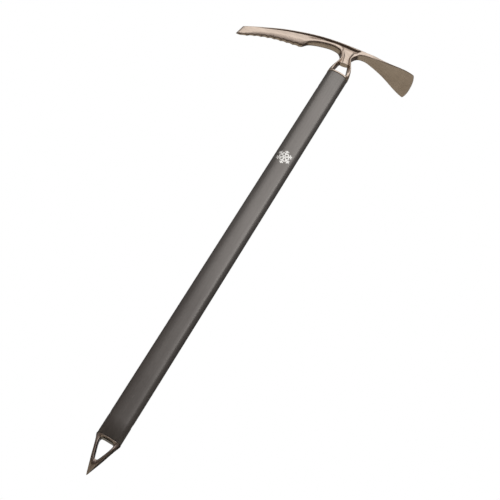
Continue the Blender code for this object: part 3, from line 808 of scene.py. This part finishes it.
# ---------- stage, light and camera
studio = {
    "floorHeight": -0.35, "floorNear": -3.2, "floorSplit": -0.40, "floorFar": 3.6, "floorSide": 3.2,
    "cameraPlace": (0.10395, -1.0023, -0.1077), "yaw": 0.0809, "pitch": 0.4056, "roll": 0.5533,
    "lens": 64.8, "sensor": 36,
}
lamps = {
    "Key": {"place": (0.20, -1.60, 1.95), "aim": (0, 0, 0.52), "size": (2.9, 2.5), "power": 29,
            "tint": (1.0, 0.99, 0.97)},
    "Side_Strip": {"place": (1.02, -1.62, 0.98), "aim": (0, 0, 0.36), "size": (0.45, 0.90), "power": 2.5},
    "Floor_Wash": {"place": (0.0, 2.75, 0.42), "aim": (0, 2.75, -0.35), "size": (5.6, 2.6), "power": 14},
}


def stagePaper():
    material, tree, shader, coords = startMaterial("stagePaper")
    cloud = addNoise(tree, coords, 1.2, 3.0)
    fibre = addNoise(tree, coords, 260.0, 4.0, roughness=0.7)
    base = addRamp(tree, cloud, [(0.3, (0.915, 0.865, 0.732)), (0.7, (0.94, 0.89, 0.755))])
    base = addMix(tree, 0.2, base, addRamp(tree, fibre, [(0.3, 0.94), (0.6, 1.0)]), "MULTIPLY")
    tree.links.new(base, shader.inputs["Base Color"])
    tree.links.new(addRamp(tree, cloud, [(0.3, 0.78), (0.7, 0.86)]), shader.inputs["Roughness"])
    addBump(tree, shader, [(fibre, 0.1, 0.0002)])
    return material


def buildFloor(name, near, far, material):
    bm = bmesh.new()
    bmesh.ops.create_grid(bm, x_segments=8, y_segments=8, size=1.0)
    for v in bm.verts:
        x, y = v.co.x * studio["floorSide"], mix(near, far, (v.co.y + 1) / 2)
        v.co = Vector((x, y, studio["floorHeight"]))
    floor = newPiece(name, bm, material)
    return floor


def buildLight(name, place, aim, size, power, tint=(1, 1, 1)):
    lamp = bpy.data.lights.new(name, "AREA")
    lamp.shape = "RECTANGLE"
    lamp.size, lamp.size_y = size
    lamp.energy = power
    lamp.color = tint
    thing = bpy.data.objects.new(name, lamp)
    thing.visible_camera = False
    thing.location = place
    thing.rotation_euler = (Vector(aim) - Vector(place)).to_track_quat("-Z", "Y").to_euler()
    scene.collection.objects.link(thing)


def buildCamera():
    # turned from straight along +Y: yaw about the vertical, then pitch, then roll
    yaw, pitch, roll = studio["yaw"], studio["pitch"], studio["roll"]
    ahead = Vector((-math.sin(yaw) * math.cos(pitch), math.cos(yaw) * math.cos(pitch), math.sin(pitch)))
    side = Vector((math.cos(yaw), math.sin(yaw), 0))
    rise = side.cross(ahead)
    right = math.cos(roll) * side + math.sin(roll) * rise
    up = -math.sin(roll) * side + math.cos(roll) * rise
    lens = bpy.data.cameras.new("camera")
    lens.lens = studio["lens"]
    lens.sensor_width = studio["sensor"]
    lens.clip_start = 0.01
    camera = bpy.data.objects.new("camera", lens)
    turned = Matrix((right, up, -ahead)).transposed().to_4x4()
    turned.translation = Vector(studio["cameraPlace"])
    camera.matrix_world = turned
    scene.collection.objects.link(camera)
    scene.camera = camera


def addShare(tree, value):
    # a direction's part, -1 to 1, as 0 to 1 for a ramp
    node = tree.nodes.new("ShaderNodeMapRange")
    node.inputs["From Min"].default_value = -1
    node.inputs["From Max"].default_value = 1
    tree.links.new(value, node.inputs["Value"])
    return node.outputs["Result"]


def buildWorld():
    # white to the camera; the light it casts changes with height, from side to side and front to back
    world = bpy.data.worlds.new("studio")
    scene.world = world
    world.use_nodes = True
    tree = world.node_tree
    tree.nodes.clear()
    out = tree.nodes.new("ShaderNodeOutputWorld")
    seen = tree.nodes.new("ShaderNodeBackground")
    seen.inputs["Color"].default_value = (1, 1, 1, 1)
    cast = tree.nodes.new("ShaderNodeBackground")
    swap = tree.nodes.new("ShaderNodeMixShader")
    path = tree.nodes.new("ShaderNodeLightPath")
    tree.links.new(path.outputs["Is Camera Ray"], swap.inputs["Fac"])
    tree.links.new(cast.outputs[0], swap.inputs[1])
    tree.links.new(seen.outputs[0], swap.inputs[2])
    tree.links.new(swap.outputs[0], out.inputs["Surface"])
    coords = tree.nodes.new("ShaderNodeTexCoord")
    split = tree.nodes.new("ShaderNodeSeparateXYZ")
    tree.links.new(coords.outputs["Generated"], split.inputs["Vector"])
    across, along, rise = (addShare(tree, split.outputs[axis]) for axis in "XYZ")
    sky = addRamp(tree, rise, [(0.30, (0.075, 0.058, 0.045)), (0.42, (0.105, 0.085, 0.068)),
                               (0.50, (0.125, 0.096, 0.086)), (0.575, (0.205, 0.165, 0.153)),
                               (0.61, (0.34, 0.315, 0.30)), (0.72, (0.46, 0.445, 0.43)),
                               (1.0, (0.34, 0.33, 0.32))])
    flag = addRamp(tree, across, [(0.0, 1.15), (0.45, 1.0), (0.75, 0.85), (1.0, 0.80)])
    behind = addRamp(tree, along, [(0.40, 1.0), (0.55, 0.72), (0.72, 0.42)])
    sky = addMix(tree, 1.0, sky, flag, "MULTIPLY")
    tree.links.new(addMix(tree, 1.0, sky, behind, "MULTIPLY"), cast.inputs["Color"])


paper = stagePaper()
buildFloor("Stage_Floor", studio["floorSplit"], studio["floorFar"], paper)
foreground = buildFloor("Stage_Foreground", studio["floorNear"], studio["floorSplit"], paper)
foreground.visible_glossy = False           # kept out of the reflections, so the undercut edges stay dark
buildWorld()
for lampName, spec in lamps.items():
    buildLight(lampName, **spec)
buildCamera()
scene.view_settings.view_transform = "Standard"
print("stage, light and camera ready")
